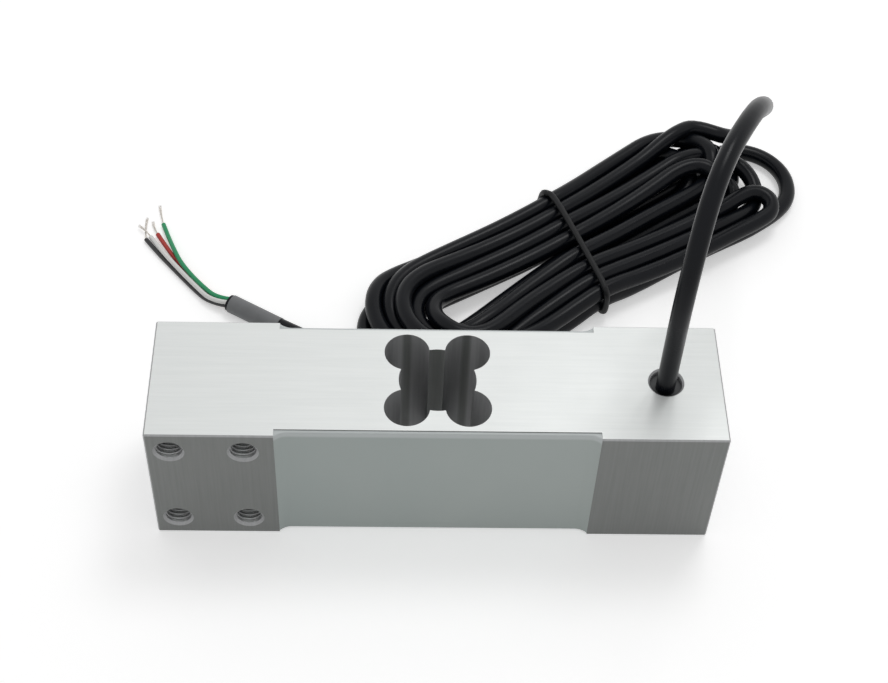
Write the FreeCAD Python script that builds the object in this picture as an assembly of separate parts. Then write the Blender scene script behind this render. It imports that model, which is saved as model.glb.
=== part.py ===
import FreeCAD, Part
import math
import os

# Single point load cell, lying on its side as it rests on a bench.
# X runs along the block, Y across it (the two gauged faces look along -Y and +Y), Z is up.
# The origin is the middle of the block's lower face. All sizes are in millimetres.

Vec = FreeCAD.Vector
UP = Vec(0, 0, 1)
FRONT = -1
REAR = 1

# ---- the aluminium block -------------------------------------------------------------------
BLOCK_LENGTH = 150.0
BLOCK_WIDTH = 38.0
BLOCK_HEIGHT = 44.0
EDGE_BREAK = 0.4

# binocular cutout: four web holes joined by one large centre hole, open from top to bottom
WEB_HOLE_R = 6.0
WEB_HOLE_X = 8.0
WEB_THICKNESS = 1.4         # thinnest metal left between a web hole and the gauged face
CENTRE_HOLE_R = 10.2

# shallow gauge recess on the front and rear faces, over the full height
PAD_LENGTH = 33.0           # full-width pad at each end of the recess
RECESS_DEPTH = 2.4

# threaded mounting holes: two rows on the front face at the left end, on the rear at the right
HOLE_END_INSET = 6.0
HOLE_SPACING_X = 19.0
HOLE_SPACING_Z = 30.0
TAP_DRILL_R = 3.4
HOLE_MOUTH_R = 4.1
HOLE_DEPTH = 14.0
DRILL_POINT_DEG = 118.0

# ---- cable entry -----------------------------------------------------------------------------
CABLE_BORE_INSET = 15.0
CABLE_BORE_R = 4.3
CABLE_BORE_DEPTH = 20.0
CABLE_BORE_BREAK = 0.5
CABLE_GRIP = 14.0           # how far the jacket reaches into the bore
POTTING_RECESS = 1.6        # potting stops this far below the top face
WIRE_HOLE_R = 1.6
WIRE_HOLE_OVERRUN = 3.0     # the drill starts this far outside the pocket's floor
WIRE_HOLE_ABOVE_BORE_END = 2.4
CROSS_HOLE_R = 1.5
CROSS_HOLE_BEFORE_POCKET = 4.0
CROSS_HOLE_ABOVE_POCKET_FOOT = 4.5

# ---- gauging under the sealing compound ------------------------------------------------------
SEAL_THICKNESS = 0.85
SEAL_END_RISE = 1.35        # how far the compound climbs the recess's end walls
SEAL_END_RUN = 3.3
SEAL_SETBACK = 0.3          # compound stops short of the top and bottom faces
SEAL_EDGE_ROUND = 0.4
POCKET_DEPTH = 2.2
POCKET_LENGTH = 18.0
POCKET_HEIGHT = 23.5
POCKET_END_GAP = 2.0        # to the end of the recess
POCKET_ABOVE_WIRE_HOLE = 4.6
POCKET_CORNER_R = 2.0
BOARD_LENGTH = 10.0
BOARD_HEIGHT = 21.6
BOARD_THICKNESS = 1.0
BOARD_GAP = 1.0
POST_R = 0.7
POST_PITCH = 1.6
POST_EDGE_GAP = 0.4
CHIP_LENGTH = 3.2
CHIP_WIDTH = 1.6
CHIP_THICKNESS = 0.6
CHIP_PITCH = 4.2
CHIP_START = 2.0            # how far below the pocket's middle the row of chips starts
CHIP_CAP_LENGTH = 0.5
CHIP_CAP_THICKNESS = 0.04
GAUGE_LENGTH = 8.0
GAUGE_WIDTH = 5.0
GAUGE_BACKING = 0.12
GRID_LINES = 7
GRID_LINE_WIDTH = 0.25
GRID_THICKNESS = 0.06
GRID_END_MARGIN = 1.2
GRID_RISE = 0.4             # the grid sits above the middle to leave room for the tabs
TAB_OFFSET = 1.2
TAB_LENGTH = 1.1
TAB_HEIGHT = 0.66
TAB_MARGIN = 0.2
STRIP_LENGTH = 12.0
STRIP_HEIGHT = 3.0
STRIP_THICKNESS = 0.5
STRIP_PADS = 4
STRIP_PAD_PITCH = 3.0
STRIP_PAD_LENGTH = 1.8
STRIP_PAD_HEIGHT = 2.2
STRIP_PAD_THICKNESS = 0.08
FINE_WIRE_R = 0.15
FINE_WIRE_PITCH = 0.5
FINE_WIRE_LIFT = 0.05       # the compound flows in under the wires
FINE_WIRE_BEND = 0.9        # how far before a corner a fine wire starts to turn
JUMPER_DROP = 1.5
POST_LEAD_OUT = 2.2
LEAD_R = 0.35
LEAD_HALF_PITCH = 0.36      # the leads lie stacked in the slanting hole
LEAD_LAND_HALF_PITCH = 0.7  # and spread out over the board's pads
LEAD_LAND_INSET = 1.6
LEAD_SPREAD_IN_CABLE = 0.7

# ---- signal cable ----------------------------------------------------------------------------
CABLE_R = 2.55
CABLE_BORE_X = BLOCK_LENGTH / 2 - CABLE_BORE_INSET
CABLE_END_Z = BLOCK_HEIGHT - CABLE_GRIP
# from inside the bore, up and over in a free arch, and down into the hank
RISER_ROUTE = [
    (CABLE_BORE_X, 0.0, CABLE_END_Z),
    (CABLE_BORE_X - 0.2, -0.9, BLOCK_HEIGHT + 8.0),
    (CABLE_BORE_X - 1.4, -6.0, BLOCK_HEIGHT + 46.0),
    (65.4, 14.0, 110.5),
    (77.3, 37.0, 108.9),
    (84.8, 54.0, 93.0),
    (90.0, 80.0, 66.0),
    (95.5, 107.0, 39.0),
    (98.5, 123.0, 20.0),
    (99.5, 130.0, 9.0),
]
# out of the hank's left end and along the floor to the stripped end
TAIL_ROUTE = [
    (-5.3, 32.4, 2.6),
    (-24.2, 40.4, 2.7),
    (-43.4, 50.2, 2.9),
    (-61.0, 60.8, 2.9),
]
SLEEVE_R = 2.8
SLEEVE_LENGTH = 17.0
JACKET_PAST_SLEEVE = 1.0

# hank: a flat bundle of turns lying on the floor behind the block
HANK_CENTRE = (40.0, 80.0)
HANK_ANGLE_DEG = 33.2
HANK_LEFT = -70.5
HANK_RIGHT = 89.0
HANK_NEAR = -25.5
HANK_FAR = 24.5
HANK_HEIGHT = 15.5
HANK_TOP_ROUND = 6.0
HANK_FOOT_ROUND = 2.0
TIE_R = 0.9
TIE_ALONG = 3.5             # where the tie crosses the hank, along its axis
TIE_SKEW_DEG = -11.0
TIE_HALF_WIDTH = 22.6
TIE_TOP = 13.6
TIE_CORNER_R = 4.5
TIE_FLOOR_GAP = 0.1
TIE_SIDE_GAP = 0.2

# ---- stripped end: four cores, bare tips, a few strands of the shield ------------------------
CORE_R = 0.7
TIP_R = 0.3
CORE_ROUTES = {
    "green": [(-60.6, 61.45, 3.65), (-65.0, 62.7, 3.0), (-69.4, 67.4, 2.5), (-73.8, 72.7, 2.35),
              (-77.3, 77.9, 2.3), (-80.0, 84.2, 1.7), (-82.2, 89.8, 1.0), (-83.9, 94.5, 0.8)],
    "red": [(-60.6, 61.45, 2.15), (-65.7, 63.9, 1.2), (-70.3, 69.2, 0.8), (-74.6, 74.4, 0.8),
            (-78.2, 78.9, 0.8), (-81.6, 83.9, 0.8), (-85.3, 90.2, 0.8)],
    "white": [(-61.4, 60.15, 3.65), (-66.5, 61.6, 2.8), (-71.2, 67.2, 2.3), (-75.5, 72.3, 2.25),
              (-79.3, 77.0, 2.3), (-83.0, 82.0, 1.9), (-87.3, 88.9, 0.9)],
    "black": [(-61.4, 60.15, 2.15), (-67.2, 62.2, 1.1), (-72.3, 67.7, 0.8), (-76.6, 72.8, 0.8),
              (-80.6, 77.6, 0.8), (-84.8, 82.7, 0.8), (-88.7, 88.0, 0.8)],
}
TIP_ROUTES = {
    "green": [(-83.9, 94.5, 0.8), (-85.0, 98.3, 0.6), (-85.8, 102.6, 0.5)],
    "red": [(-85.3, 90.2, 0.8), (-86.6, 92.6, 0.6), (-87.3, 95.6, 0.5)],
    "white": [(-87.3, 88.9, 0.9), (-88.9, 91.2, 1.6), (-91.4, 93.4, 1.1)],
    "black": [(-88.7, 88.0, 0.8), (-89.5, 92.4, 0.6), (-89.2, 97.2, 0.5)],
}

# ---- worked out from the sizes above ---------------------------------------------------------
RECESS_HALF_LENGTH = BLOCK_LENGTH / 2 - PAD_LENGTH
RECESS_FLOOR = BLOCK_WIDTH / 2 - RECESS_DEPTH
WEB_HOLE_Y = RECESS_FLOOR - WEB_THICKNESS - WEB_HOLE_R
FINE_WIRE_DEPTH = RECESS_FLOOR + FINE_WIRE_LIFT + FINE_WIRE_R
POCKET_FLOOR = RECESS_FLOOR - POCKET_DEPTH
BOARD_FACE = POCKET_FLOOR + BOARD_THICKNESS
BORE_END_Z = BLOCK_HEIGHT - CABLE_BORE_DEPTH
WIRE_HOLE_Z = BORE_END_Z + WIRE_HOLE_ABOVE_BORE_END
POCKET_RIGHT = RECESS_HALF_LENGTH - POCKET_END_GAP
POCKET_LEFT = POCKET_RIGHT - POCKET_LENGTH
POCKET_TOP = WIRE_HOLE_Z + POCKET_ABOVE_WIRE_HOLE
POCKET_BOTTOM = POCKET_TOP - POCKET_HEIGHT
CROSS_HOLE_X = POCKET_LEFT - CROSS_HOLE_BEFORE_POCKET
CROSS_HOLE_Z = POCKET_BOTTOM + CROSS_HOLE_ABOVE_POCKET_FOOT
STRIP_Z = CROSS_HOLE_Z
POCKET_MID_Z = (POCKET_BOTTOM + POCKET_TOP) / 2
BOARD_LEFT = POCKET_LEFT + BOARD_GAP
BOARD_BOTTOM = POCKET_MID_Z - BOARD_HEIGHT / 2
WIRE_MOUTH_X = (BOARD_LEFT + BOARD_LENGTH + POCKET_RIGHT) / 2

made = {}


def keep(name, shape):
    made[name] = shape
    return shape


def slab(side, x0, x1, depth0, depth1, z0, z1):
    """A box between two distances from the block's middle plane, on the front or rear side."""
    y0 = min(side * depth0, side * depth1)
    return Part.makeBox(x1 - x0, depth1 - depth0, z1 - z0, Vec(x0, y0, z0))


def peg(side, radius, x, z, depth0, depth1):
    """A cylinder square to a gauged face."""
    return Part.makeCylinder(radius, depth1 - depth0, Vec(x, side * depth0, z), Vec(0, side, 0))


# ---- swept tubes: straight runs joined by tangent arcs ---------------------------------------
def tube_path(points):
    """Wire through the points' runs, each corner rounded as widely as its two runs allow."""
    pts = [Vec(*p) for p in points]
    edges = []
    radii = []
    start = pts[0]
    for before, corner, after in zip(pts, pts[1:], pts[2:]):
        inward = (corner - before).normalize()
        outward = (after - corner).normalize()
        turn = inward.getAngle(outward)
        reach = 0.45 * min((corner - before).Length, (after - corner).Length)
        radius = reach / math.tan(turn / 2)
        radii.append(radius)
        arc_start = corner - inward * reach
        arc_end = corner + outward * reach
        to_centre = (outward - inward).normalize()
        arc_mid = corner + to_centre * (radius / math.cos(turn / 2) - radius)
        edges.append(Part.makeLine(start, arc_start))
        edges.append(Part.Arc(arc_start, arc_mid, arc_end).toShape())
        start = arc_end
    edges.append(Part.makeLine(start, pts[-1]))
    return Part.Wire(edges), radii


def tube(points, radius, label=None):
    """Solid round tube along the points' runs."""
    path, radii = tube_path(points)
    first = Vec(*points[0])
    ring = Part.Wire(Part.makeCircle(radius, first, Vec(*points[1]) - first))
    solid = path.makePipeShell([ring], True, False)
    if label:
        swept = solid.Volume / (math.pi * radius ** 2 * path.Length)
        print(label, "length %.1f" % path.Length, "volume ratio %.4f" % swept,
              "radii", ["%.1f" % r for r in radii])
    return solid


# ---- aluminium sensing body ------------------------------------------------------------------
def mounting_holes(side, x_first):
    """Four blind holes with a drill point and a broken mouth."""
    face = side * BLOCK_WIDTH / 2
    point_length = TAP_DRILL_R / math.tan(math.radians(DRILL_POINT_DEG / 2))
    mouth = HOLE_MOUTH_R - TAP_DRILL_R
    low_z = (BLOCK_HEIGHT - HOLE_SPACING_Z) / 2
    cuts = []
    for x in (x_first, x_first + HOLE_SPACING_X):
        for z in (low_z, low_z + HOLE_SPACING_Z):
            profile = [Vec(0, face, 0), Vec(HOLE_MOUTH_R, face, 0),
                       Vec(TAP_DRILL_R, face - side * mouth, 0),
                       Vec(TAP_DRILL_R, face - side * HOLE_DEPTH, 0),
                       Vec(0, face - side * (HOLE_DEPTH + point_length), 0), Vec(0, face, 0)]
            hole = Part.Face(Part.makePolygon(profile)).revolve(Vec(0, 0, 0), Vec(0, 1, 0), 360)
            hole.translate(Vec(x, 0, z))
            cuts.append(hole)
    return cuts


def cutout():
    """Four web holes joined by the centre hole."""
    z0 = -1.0
    height = BLOCK_HEIGHT + 2.0
    shape = Part.makeCylinder(CENTRE_HOLE_R, height, Vec(0, 0, z0))
    for sx in (-1, 1):
        for sy in (-1, 1):
            place = Vec(sx * WEB_HOLE_X, sy * WEB_HOLE_Y, z0)
            shape = shape.fuse(Part.makeCylinder(WEB_HOLE_R, height, place))
    return shape.removeSplitter()


def pocket():
    """Pocket in the front recess for the compensation board, with rounded corners."""
    box = slab(FRONT, POCKET_LEFT, POCKET_RIGHT, POCKET_FLOOR, RECESS_FLOOR + 1,
               POCKET_BOTTOM, POCKET_TOP)
    corners = [e for e in box.Edges
               if abs(e.tangentAt(e.FirstParameter).dot(Vec(0, 1, 0))) > 0.99]
    return box.makeFillet(POCKET_CORNER_R, corners)


def cable_bore():
    hole = Part.makeCylinder(CABLE_BORE_R, CABLE_BORE_DEPTH + 1, Vec(CABLE_BORE_X, 0, BORE_END_Z))
    flare = Part.makeCone(CABLE_BORE_R, CABLE_BORE_R + CABLE_BORE_BREAK, CABLE_BORE_BREAK,
                          Vec(CABLE_BORE_X, 0, BLOCK_HEIGHT - CABLE_BORE_BREAK))
    return hole.fuse(flare)


def wire_hole():
    """Slanting hole from the front pocket to the foot of the cable bore."""
    mouth = Vec(WIRE_MOUTH_X, -POCKET_FLOOR, WIRE_HOLE_Z)
    foot = Vec(CABLE_BORE_X, 0, WIRE_HOLE_Z)
    run = foot - mouth
    back = run.normalize()
    return Part.makeCylinder(WIRE_HOLE_R, (foot - mouth).Length + WIRE_HOLE_OVERRUN,
                             mouth - back * WIRE_HOLE_OVERRUN, back)


def sensing_body():
    body = Part.makeBox(BLOCK_LENGTH, BLOCK_WIDTH, BLOCK_HEIGHT,
                        Vec(-BLOCK_LENGTH / 2, -BLOCK_WIDTH / 2, 0))
    body = body.makeChamfer(EDGE_BREAK, body.Edges)
    cuts = [cutout(), pocket(), cable_bore(), wire_hole()]
    for side in (FRONT, REAR):
        cuts.append(slab(side, -RECESS_HALF_LENGTH, RECESS_HALF_LENGTH, RECESS_FLOOR,
                         BLOCK_WIDTH, -1, BLOCK_HEIGHT + 1))
    cuts += mounting_holes(FRONT, -BLOCK_LENGTH / 2 + HOLE_END_INSET)
    cuts += mounting_holes(REAR, BLOCK_LENGTH / 2 - HOLE_END_INSET - HOLE_SPACING_X)
    cuts.append(Part.makeCylinder(CROSS_HOLE_R, BLOCK_WIDTH, Vec(CROSS_HOLE_X, -BLOCK_WIDTH / 2,
                                                                 CROSS_HOLE_Z), Vec(0, 1, 0)))
    for cut in cuts:
        body = body.cut(cut)
    return body


# ---- gauging ---------------------------------------------------------------------------------
def strain_gauge(side, x):
    """Foil gauge: backing, a grid of fine lines along X and two solder tabs."""
    z = BLOCK_HEIGHT / 2
    top = RECESS_FLOOR + GAUGE_BACKING
    foil = top + GRID_THICKNESS
    shape = slab(side, x - GAUGE_LENGTH / 2, x + GAUGE_LENGTH / 2, RECESS_FLOOR, top,
                 z - GAUGE_WIDTH / 2, z + GAUGE_WIDTH / 2)
    line_half = GAUGE_LENGTH / 2 - GRID_END_MARGIN
    pitch = 2 * GRID_LINE_WIDTH
    grid_low = z + GRID_RISE - pitch * (GRID_LINES - 1) / 2
    for i in range(GRID_LINES):
        zi = grid_low + i * pitch
        shape = shape.fuse(slab(side, x - line_half, x + line_half, top, foil,
                                zi - GRID_LINE_WIDTH / 2, zi + GRID_LINE_WIDTH / 2))
    tab_z = z - GAUGE_WIDTH / 2 + TAB_MARGIN
    for sx in (-1, 1):
        xt = x + sx * TAB_OFFSET
        shape = shape.fuse(slab(side, xt - TAB_LENGTH / 2, xt + TAB_LENGTH / 2, top, foil,
                                tab_z, tab_z + TAB_HEIGHT))
    return shape


def terminal_strip(side):
    """Solder terminal strip bonded to the recess floor under the gauges."""
    top = RECESS_FLOOR + STRIP_THICKNESS
    shape = slab(side, -STRIP_LENGTH / 2, STRIP_LENGTH / 2, RECESS_FLOOR, top,
                 STRIP_Z - STRIP_HEIGHT / 2, STRIP_Z + STRIP_HEIGHT / 2)
    first = -STRIP_PAD_PITCH * (STRIP_PADS - 1) / 2
    for i in range(STRIP_PADS):
        x = first + i * STRIP_PAD_PITCH
        shape = shape.fuse(slab(side, x - STRIP_PAD_LENGTH / 2, x + STRIP_PAD_LENGTH / 2,
                                top, top + STRIP_PAD_THICKNESS,
                                STRIP_Z - STRIP_PAD_HEIGHT / 2, STRIP_Z + STRIP_PAD_HEIGHT / 2))
    return shape


def jumper_wires(side):
    """Fine wires from each gauge's two tabs down to the terminal strip."""
    wires = []
    y = side * FINE_WIRE_DEPTH
    top_z = BLOCK_HEIGHT / 2 - GAUGE_WIDTH / 2
    strip_z = STRIP_Z + STRIP_HEIGHT / 2
    first = -STRIP_PAD_PITCH * (STRIP_PADS - 1) / 2
    tabs = [-WEB_HOLE_X - TAB_OFFSET, -WEB_HOLE_X + TAB_OFFSET,
            WEB_HOLE_X - TAB_OFFSET, WEB_HOLE_X + TAB_OFFSET]
    for i, tab in enumerate(tabs):
        pad = first + i * STRIP_PAD_PITCH
        wires.append(tube([(tab, y, top_z), (tab, y, top_z - JUMPER_DROP),
                           (pad, y, strip_z + JUMPER_DROP), (pad, y, strip_z)], FINE_WIRE_R))
    return Part.makeCompound(wires)


def compensation_board():
    """Small board in the pocket, with four lead posts and four wire posts."""
    shape = slab(FRONT, BOARD_LEFT, BOARD_LEFT + BOARD_LENGTH, POCKET_FLOOR, BOARD_FACE,
                 BOARD_BOTTOM, BOARD_BOTTOM + BOARD_HEIGHT)
    for x, z in wire_posts():
        shape = shape.fuse(peg(FRONT, POST_R, x, z, BOARD_FACE, RECESS_FLOOR))
    return shape


def wire_posts():
    x = BOARD_LEFT + POST_R + POST_EDGE_GAP
    return [(x, CROSS_HOLE_Z + (i - 1.5) * POST_PITCH) for i in range(4)]


def chip_resistor(index):
    x = BOARD_LEFT + BOARD_LENGTH / 2
    z = POCKET_MID_Z - CHIP_START + (index - 0.5) * CHIP_PITCH
    body = slab(FRONT, x - CHIP_LENGTH / 2, x + CHIP_LENGTH / 2, BOARD_FACE,
                BOARD_FACE + CHIP_THICKNESS, z - CHIP_WIDTH / 2, z + CHIP_WIDTH / 2)
    for sx in (-1, 1):
        end = x + sx * (CHIP_LENGTH - CHIP_CAP_LENGTH) / 2
        cap = slab(FRONT, end - CHIP_CAP_LENGTH / 2, end + CHIP_CAP_LENGTH / 2,
                   BOARD_FACE + CHIP_THICKNESS, BOARD_FACE + CHIP_THICKNESS + CHIP_CAP_THICKNESS,
                   z - CHIP_WIDTH / 2, z + CHIP_WIDTH / 2)
        body = body.fuse(cap)
    return body


def crossover_wires():
    """Four fine wires from the rear strip through the cross hole to the board's posts."""
    wires = []
    front_y = -FINE_WIRE_DEPTH
    rear_y = FINE_WIRE_DEPTH
    strip_end = STRIP_LENGTH / 2
    for i in range(4):
        z = CROSS_HOLE_Z + (i - 1.5) * FINE_WIRE_PITCH
        post_x, post_z = wire_posts()[i]
        wires.append(tube([(post_x, front_y, post_z), (post_x - POST_LEAD_OUT, front_y, post_z),
                           (CROSS_HOLE_X + FINE_WIRE_BEND, front_y, z),
                           (CROSS_HOLE_X, front_y + FINE_WIRE_BEND, z),
                           (CROSS_HOLE_X, rear_y - FINE_WIRE_BEND, z),
                           (CROSS_HOLE_X - FINE_WIRE_BEND, rear_y, z),
                           (strip_end, rear_y, z)], FINE_WIRE_R))
    return Part.makeCompound(wires)


def seal(side, hidden):
    """Sealing compound over the gauging, fitted round every piece that it buries."""
    surface = RECESS_FLOOR + SEAL_THICKNESS
    rise = SEAL_END_RISE
    run = SEAL_END_RUN
    radius = (run ** 2 + rise ** 2) / (2 * rise)
    half = math.asin(run / radius) / 2
    flat = RECESS_HALF_LENGTH - run
    mid_x = flat + radius * math.sin(half)
    mid_depth = surface + radius * (1 - math.cos(half))
    z0 = SEAL_SETBACK

    def corner(x, depth):
        return Vec(x, side * depth, z0)

    right = Part.Arc(corner(flat, surface), corner(mid_x, mid_depth),
                     corner(RECESS_HALF_LENGTH, surface + rise)).toShape()
    left = Part.Arc(corner(-flat, surface), corner(-mid_x, mid_depth),
                    corner(-RECESS_HALF_LENGTH, surface + rise)).toShape()
    edges = [Part.makeLine(corner(-flat, surface), corner(flat, surface)), right,
             Part.makeLine(corner(RECESS_HALF_LENGTH, surface + rise),
                           corner(RECESS_HALF_LENGTH, RECESS_FLOOR)),
             Part.makeLine(corner(RECESS_HALF_LENGTH, RECESS_FLOOR),
                           corner(-RECESS_HALF_LENGTH, RECESS_FLOOR)),
             Part.makeLine(corner(-RECESS_HALF_LENGTH, RECESS_FLOOR),
                           corner(-RECESS_HALF_LENGTH, surface + rise)), left]
    outline = Part.Wire(Part.__sortEdges__(edges))
    solid = Part.Face(outline).extrude(UP * (BLOCK_HEIGHT - 2 * SEAL_SETBACK))
    rims = [e for e in solid.Edges if abs(e.CenterOfMass.y) < surface + 0.01
            and abs(e.CenterOfMass.y) > surface - 0.01 and abs(e.CenterOfMass.x) < 0.01
            and abs(e.tangentAt(e.FirstParameter).x) > 0.99]
    solid = solid.makeFillet(SEAL_EDGE_ROUND, rims)
    for piece in hidden:
        solid = solid.cut(piece)
    return solid


# ---- cable entry: leads and potting ----------------------------------------------------------
def inner_lead(row, column):
    """One core of the cable, from its cut end down the bore and along the slanting hole."""
    mouth = Vec(WIRE_MOUTH_X, -POCKET_FLOOR, WIRE_HOLE_Z)
    foot = Vec(CABLE_BORE_X, 0, WIRE_HOLE_Z)
    along = (mouth - foot).normalize()
    across = Vec(along.y, -along.x, 0)
    board_y = -(BOARD_FACE + LEAD_R)
    level = 2 * row + column
    top = foot + along * (LEAD_SPREAD_IN_CABLE * row) + across * (LEAD_SPREAD_IN_CABLE * column)
    top.z = CABLE_END_Z
    bend = Vec(top.x, top.y, WIRE_HOLE_Z + level * LEAD_HALF_PITCH)
    leave = foot + along * ((board_y - foot.y) / along.y)
    leave.z = bend.z
    land = Vec(BOARD_LEFT + BOARD_LENGTH - LEAD_LAND_INSET, board_y,
               WIRE_HOLE_Z + level * LEAD_LAND_HALF_PITCH)
    return tube([top, bend, leave, land], LEAD_R)


def bore_potting(riser):
    top = BLOCK_HEIGHT - POTTING_RECESS
    plug = Part.makeCylinder(CABLE_BORE_R, top - CABLE_END_Z, Vec(CABLE_BORE_X, 0, CABLE_END_Z))
    return plug.cut(riser)


# ---- hank, tie and tail ----------------------------------------------------------------------
def to_hank(shape):
    """From the hank's own axes (X along it) to its place behind the block."""
    shape.rotate(Vec(0, 0, 0), UP, HANK_ANGLE_DEG)
    shape.translate(Vec(HANK_CENTRE[0], HANK_CENTRE[1], 0))
    return shape


def rounded_frame(half_width, z0, z1, corner_r):
    """Rounded rectangle in the YZ plane, as one closed wire."""
    r = corner_r
    k = r * (1 - math.sqrt(0.5))
    w = half_width
    edges = [
        Part.makeLine(Vec(0, -w + r, z0), Vec(0, w - r, z0)),
        Part.Arc(Vec(0, w - r, z0), Vec(0, w - k, z0 + k), Vec(0, w, z0 + r)).toShape(),
        Part.makeLine(Vec(0, w, z0 + r), Vec(0, w, z1 - r)),
        Part.Arc(Vec(0, w, z1 - r), Vec(0, w - k, z1 - k), Vec(0, w - r, z1)).toShape(),
        Part.makeLine(Vec(0, w - r, z1), Vec(0, -w + r, z1)),
        Part.Arc(Vec(0, -w + r, z1), Vec(0, -w + k, z1 - k), Vec(0, -w, z1 - r)).toShape(),
        Part.makeLine(Vec(0, -w, z1 - r), Vec(0, -w, z0 + r)),
        Part.Arc(Vec(0, -w, z0 + r), Vec(0, -w + k, z0 + k), Vec(0, -w + r, z0)).toShape(),
    ]
    return Part.Wire(edges)


def tie_place(shape):
    shape.rotate(Vec(0, 0, 0), UP, TIE_SKEW_DEG)
    shape.translate(Vec(TIE_ALONG, (HANK_NEAR + HANK_FAR) / 2, 0))
    return to_hank(shape)


def hank_tie():
    z0 = TIE_FLOOR_GAP + TIE_R
    path = rounded_frame(TIE_HALF_WIDTH, z0, TIE_TOP, TIE_CORNER_R)
    ring = Part.Wire(Part.makeCircle(TIE_R, Vec(0, TIE_CORNER_R - TIE_HALF_WIDTH, z0), Vec(0, 1, 0)))
    return tie_place(path.makePipeShell([ring], True, False))


def tie_groove():
    """What the tie presses in: everything outside its inner outline, as wide as the tie."""
    reach = 4 * HANK_FAR
    half_band = TIE_R + TIE_SIDE_GAP
    band = Part.makeBox(2 * half_band, 2 * reach, 4 * HANK_HEIGHT,
                        Vec(-half_band, -reach, -2 * HANK_HEIGHT))
    inner = rounded_frame(TIE_HALF_WIDTH - TIE_R, TIE_FLOOR_GAP + 2 * TIE_R, TIE_TOP - TIE_R,
                          TIE_CORNER_R - TIE_R)
    core = Part.Face(inner).extrude(Vec(4 * TIE_R, 0, 0))
    core.translate(Vec(-2 * TIE_R, 0, 0))
    return tie_place(band.cut(core))


def hank():
    half = (HANK_FAR - HANK_NEAR) / 2
    mid = (HANK_FAR + HANK_NEAR) / 2
    left = HANK_LEFT + half
    right = HANK_RIGHT - half
    edges = [
        Part.makeLine(Vec(left, HANK_NEAR, 0), Vec(right, HANK_NEAR, 0)),
        Part.Arc(Vec(right, HANK_NEAR, 0), Vec(HANK_RIGHT, mid, 0),
                 Vec(right, HANK_FAR, 0)).toShape(),
        Part.makeLine(Vec(right, HANK_FAR, 0), Vec(left, HANK_FAR, 0)),
        Part.Arc(Vec(left, HANK_FAR, 0), Vec(HANK_LEFT, mid, 0),
                 Vec(left, HANK_NEAR, 0)).toShape(),
    ]
    solid = Part.Face(Part.Wire(edges)).extrude(UP * HANK_HEIGHT)
    rim = [e for e in solid.Edges if abs(e.CenterOfMass.z - HANK_HEIGHT) < 0.01]
    solid = solid.makeFillet(HANK_TOP_ROUND, rim)
    foot = [e for e in solid.Edges if abs(e.CenterOfMass.z) < 0.01]
    solid = solid.makeFillet(HANK_FOOT_ROUND, foot)
    return to_hank(solid).cut(tie_groove())


def end_sleeve(tail):
    """Shrink sleeve over the last stretch of the jacket."""
    end = Vec(*TAIL_ROUTE[-1])
    back = (Vec(*TAIL_ROUTE[-2]) - end).normalize()
    start = end + back * JACKET_PAST_SLEEVE
    return Part.makeCylinder(SLEEVE_R, SLEEVE_LENGTH, start, back).cut(tail)


# ---- build -----------------------------------------------------------------------------------
def build():
    keep("sensing_body", sensing_body())
    for side, where in ((FRONT, "front"), (REAR, "rear")):
        for x, hand in ((-WEB_HOLE_X, "left"), (WEB_HOLE_X, "right")):
            keep("strain_gauge_%s_%s" % (where, hand), strain_gauge(side, x))
        keep("terminal_strip_%s" % where, terminal_strip(side))
        keep("jumper_wires_%s" % where, jumper_wires(side))
    keep("compensation_board", compensation_board())
    for i, name in enumerate(("zero_balance_resistor", "span_resistor", "drift_resistor")):
        keep(name, chip_resistor(i))
    keep("crossover_wires", crossover_wires())
    for side, where in ((FRONT, "front"), (REAR, "rear")):
        hidden = [made["strain_gauge_%s_left" % where], made["strain_gauge_%s_right" % where],
                  made["terminal_strip_%s" % where], made["jumper_wires_%s" % where],
                  made["crossover_wires"]]
        keep("gauge_seal_%s" % where, seal(side, hidden))

    riser = tube(RISER_ROUTE, CABLE_R, "riser")
    tail = tube(TAIL_ROUTE, CABLE_R, "tail")
    bundle = hank()
    keep("signal_cable_hank", bundle)
    keep("signal_cable_riser", riser.cut(bundle))
    keep("signal_cable_tail", tail.cut(bundle))
    keep("hank_tie", hank_tie())
    keep("bore_potting", bore_potting(riser))
    keep("end_sleeve", end_sleeve(tail))
    places = {"green": (1, 1), "red": (1, -1), "white": (-1, 1), "black": (-1, -1)}
    for colour, (row, column) in places.items():
        keep("inner_lead_%s" % colour, inner_lead(row, column).cut(riser))
        core = tube(CORE_ROUTES[colour], CORE_R, "core " + colour).cut(tail)
        keep("core_%s" % colour, core)
        keep("bare_tip_%s" % colour, tube(TIP_ROUTES[colour], TIP_R, "tip " + colour).cut(core))


def export():
    os.makedirs("parts", exist_ok=True)
    for name, shape in made.items():
        shape.exportStep("parts/%s.step" % name)
        box = shape.BoundBox
        print("%-26s solids %d valid %s volume %.2f  x %.2f..%.2f y %.2f..%.2f z %.2f..%.2f" % (
            name, len(shape.Solids), shape.isValid(), shape.Volume,
            box.XMin, box.XMax, box.YMin, box.YMax, box.ZMin, box.ZMax))


build()
export()
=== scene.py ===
"""Single point load cell: finishes, the signal cable with its hank, and the stripped end.

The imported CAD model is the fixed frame. X runs along the block, Y from the front gauged face
to the rear one, Z is up. Sizes are in millimetres, and metres() or MM turns them into the
scene's metres where they are used. The floor and the lamp are given in metres.
"""

import math

import bpy
import numpy as np
from mathutils import Matrix, Vector

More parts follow.
